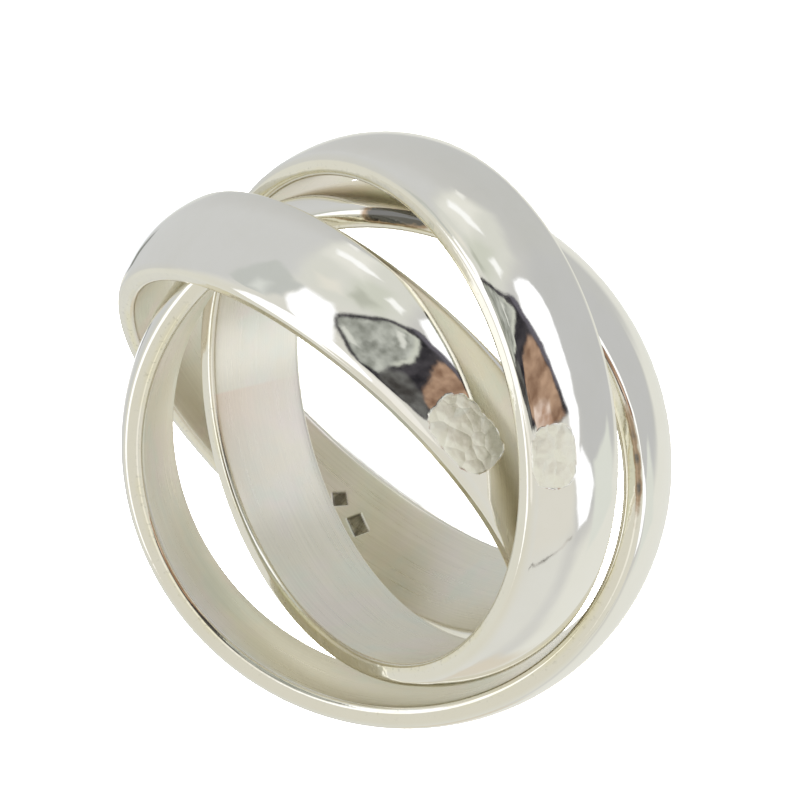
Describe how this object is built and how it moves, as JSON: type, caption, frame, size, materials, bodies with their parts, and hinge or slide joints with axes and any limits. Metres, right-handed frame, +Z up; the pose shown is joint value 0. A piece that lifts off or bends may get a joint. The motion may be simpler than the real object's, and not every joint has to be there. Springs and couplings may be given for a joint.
{
  "type": "triple band ring",
  "caption": "Finger ring of plain domed silver bands, each linked through the others and free to roll, lying on its side.",
  "frame": {"origin": "centre of the ring's box on the surface that it lies on", "axes": "+Z up, along the way for the finger; -Y towards the side that the picture was taken from; +X to the right of it"},
  "size_m": [0.0236, 0.0238, 0.0134],
  "materials": {
    "silver": "sterling silver, domed outside polished with fine scratches, flat inside brushed satin"
  },
  "bodies": {
    "stamped_band": {"stamped_band": "silver"},
    "middle_band": {"middle_band": "silver"},
    "outer_band": {"outer_band": "silver"}
  },
  "joints": [
    {"name": "middle_roll", "type": "hinge", "parent": "stamped_band", "child": "middle_band", "pos_m": [0.00008, -0.00113, 0.00588], "axis": [0.3772, 0.0218, 0.9259], "continuous": true},
    {"name": "outer_roll", "type": "hinge", "parent": "stamped_band", "child": "outer_band", "pos_m": [-0.00098, 0.00013, 0.0067], "axis": [-0.0236, -0.4658, 0.8846], "continuous": true}
  ]
}
